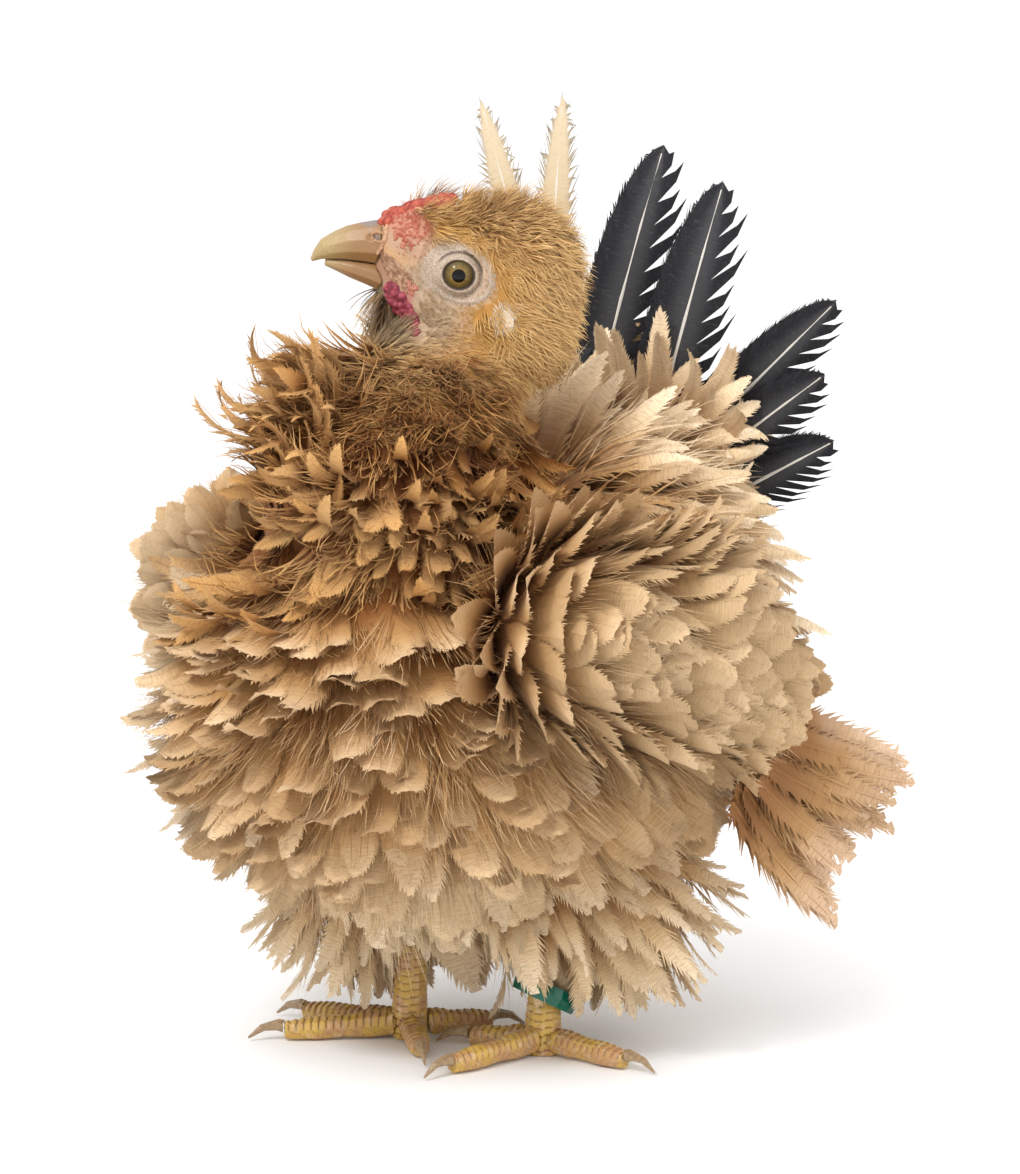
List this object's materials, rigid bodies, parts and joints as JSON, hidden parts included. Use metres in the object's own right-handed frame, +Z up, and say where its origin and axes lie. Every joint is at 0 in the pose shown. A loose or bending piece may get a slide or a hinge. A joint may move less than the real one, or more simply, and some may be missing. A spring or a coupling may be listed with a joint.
{
  "type": "frizzle hen",
  "caption": "Life-size still figure of a standing buff frizzle bantam hen with curled plumage and dark tail feathers.",
  "frame": {"origin": "on the floor, under the middle of the whole bird's box", "axes": "+Z up, -Y towards the breast, +X towards the bird's left side"},
  "size_m": [0.2004, 0.2346, 0.2558],
  "materials": {
    "buff_feather": "soft curled feather",
    "gold_down": "short fuzzy down",
    "black_feather": "satin feather",
    "horn": "satin horn",
    "yellow_scale": "scaled skin",
    "red_skin": "bare fleshy skin",
    "white_skin": "bare matt skin",
    "eye": "wet gloss",
    "green_plastic": "gloss"
  },
  "bodies": {
    "root": {"torso": "buff_feather", "neck": "buff_feather", "head": "gold_down", "beak_upper": "horn", "beak_lower": "horn", "comb": "red_skin", "eye_left": "eye", "eye_right": "eye", "wattle_left": "red_skin", "wattle_right": "red_skin", "earlobe_left": "white_skin", "earlobe_right": "white_skin", "tail": "black_feather", "wing_left": "buff_feather", "wing_right": "buff_feather", "thigh_left": "buff_feather", "thigh_right": "buff_feather", "shank_left": "yellow_scale", "shank_right": "yellow_scale", "leg_ring": "green_plastic", "toe_left_inner": "yellow_scale", "toe_left_middle": "yellow_scale", "toe_left_outer": "yellow_scale", "toe_left_hind": "yellow_scale", "toe_right_inner": "yellow_scale", "toe_right_middle": "yellow_scale", "toe_right_outer": "yellow_scale", "toe_right_hind": "yellow_scale", "claw_left_inner": "horn", "claw_left_middle": "horn", "claw_left_outer": "horn", "claw_left_hind": "horn", "claw_right_inner": "horn", "claw_right_middle": "horn", "claw_right_outer": "horn", "claw_right_hind": "horn"}
  },
  "joints": []
}
